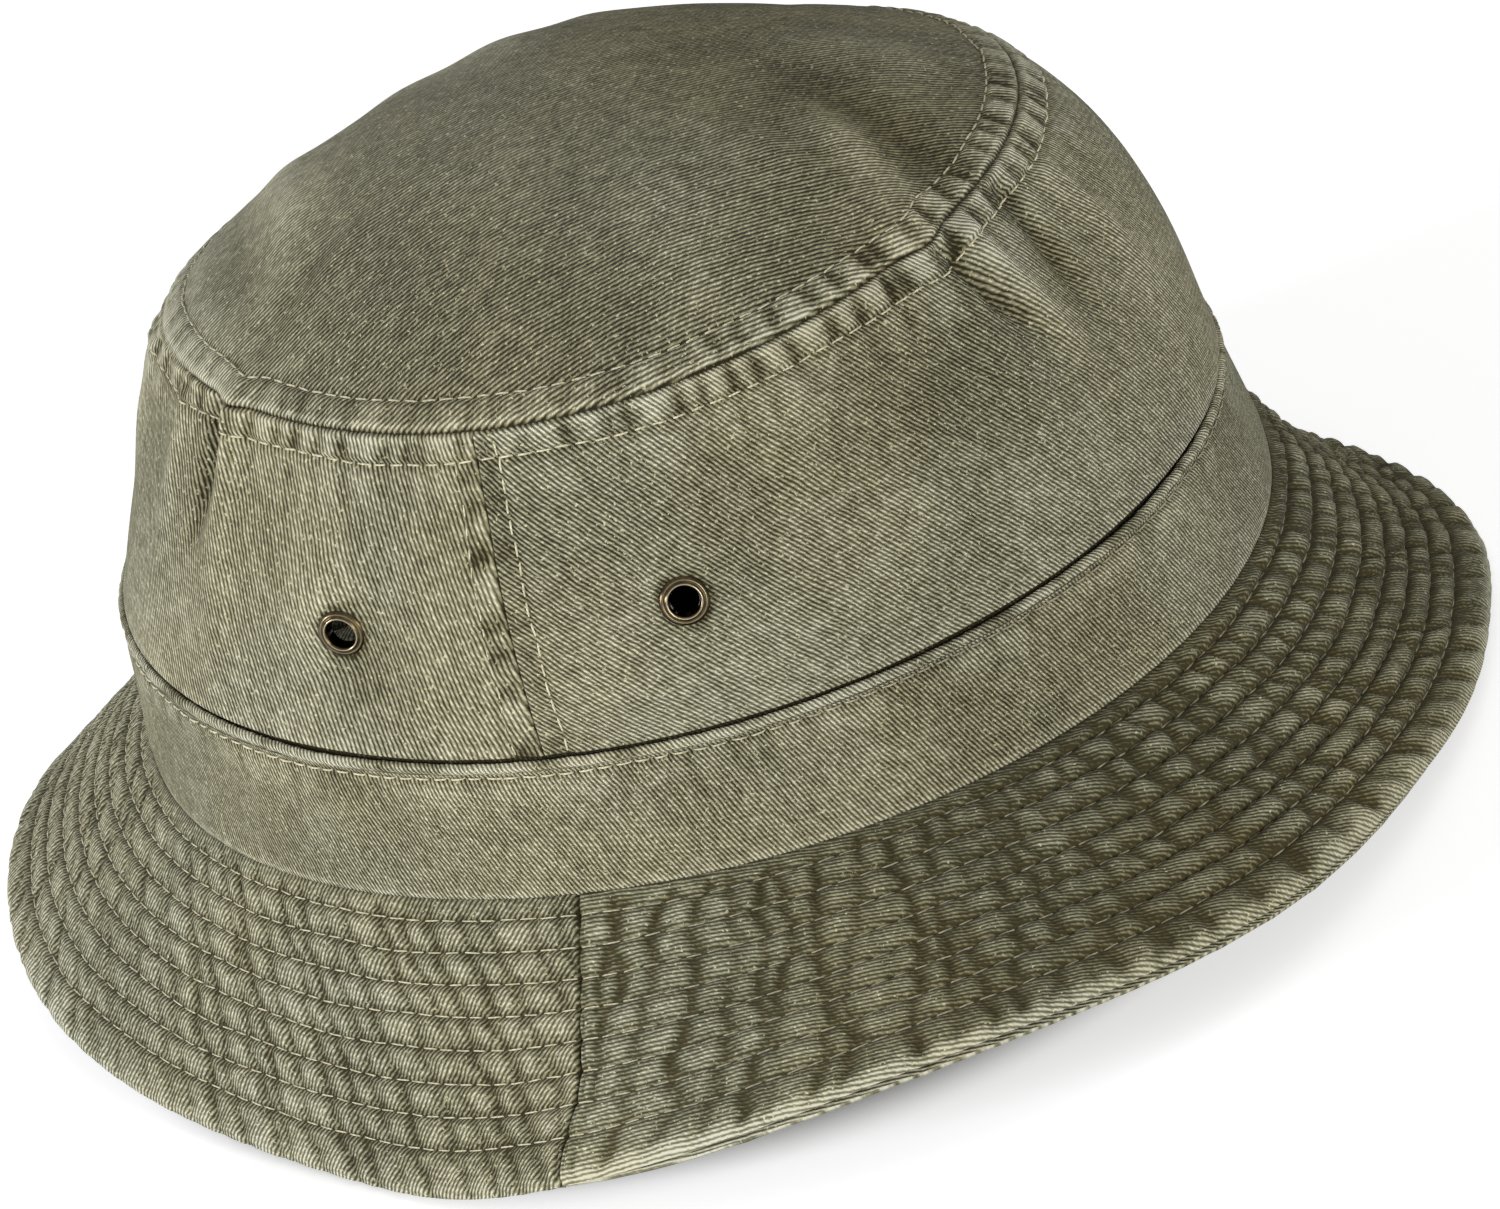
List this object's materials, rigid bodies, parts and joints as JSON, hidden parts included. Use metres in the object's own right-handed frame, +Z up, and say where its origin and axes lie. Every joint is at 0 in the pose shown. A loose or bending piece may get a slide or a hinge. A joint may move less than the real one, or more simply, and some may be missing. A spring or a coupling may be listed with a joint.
{
  "type": "bucket hat",
  "caption": "Washed cotton twill bucket hat with a domed oval top, side panels, a hat band, brass vent eyelets and a stitched, drooping two-layer brim.",
  "frame": {"origin": "middle of the hat's box, on the surface that the lowest points of the brim stand on", "axes": "+X the front of the hat, +Z up, +Y the wearer's left; the side seams are at -Y and +Y"},
  "size_m": [0.266, 0.2462, 0.1375],
  "materials": {
    "twill": "washed olive cotton twill, faded on the seams",
    "tape": "plain woven cotton tape",
    "interlining": "natural non-woven stiffener",
    "brass": "antiqued, rubbed bright on the rim"
  },
  "bodies": {
    "root": {"crown_tip": "twill", "side_panel_front": "twill", "side_panel_rear": "twill", "hat_band": "twill", "sweatband": "twill", "brim_upper_front": "twill", "brim_upper_rear": "twill", "brim_lower_front": "twill", "brim_lower_rear": "twill", "tip_seam_tape": "tape", "side_seam_tape_right": "tape", "side_seam_tape_left": "tape", "brim_interlining_front": "interlining", "brim_interlining_rear": "interlining", "eyelet_right_front": "brass", "washer_right_front": "brass", "eyelet_right_rear": "brass", "washer_right_rear": "brass", "eyelet_left_front": "brass", "washer_left_front": "brass", "eyelet_left_rear": "brass", "washer_left_rear": "brass"}
  },
  "joints": []
}
